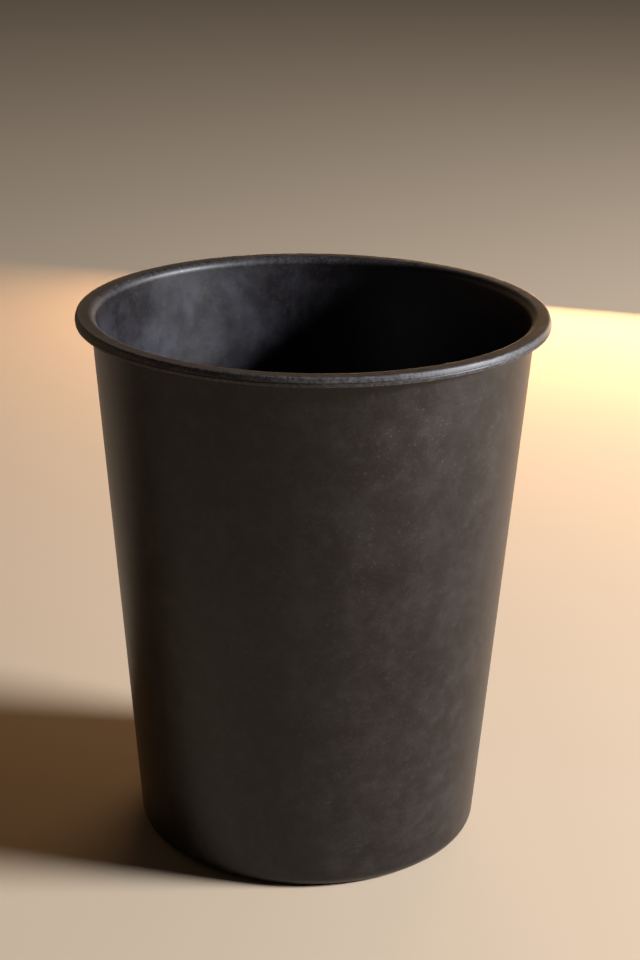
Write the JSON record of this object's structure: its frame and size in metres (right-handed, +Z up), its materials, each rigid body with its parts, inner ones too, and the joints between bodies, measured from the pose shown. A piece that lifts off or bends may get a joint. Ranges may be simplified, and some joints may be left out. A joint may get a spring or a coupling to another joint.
{
  "type": "florist bucket",
  "caption": "Tall round tapered bucket for cut flowers and water, with an open mouth and a flat rim whose edge turns down into a short skirt.",
  "frame": {"origin": "middle of the footprint, on the ground that the bucket stands on", "axes": "+Z up along the axis that the bucket is turned about; X and Y are level, and the bucket is the same all the way round"},
  "size_m": [0.28, 0.28, 0.328],
  "materials": {
    "bucket_plastic": "satin black, scuffed and a little hazy from washing and nesting"
  },
  "bodies": {
    "root": {"bucket": "bucket_plastic"}
  },
  "joints": []
}
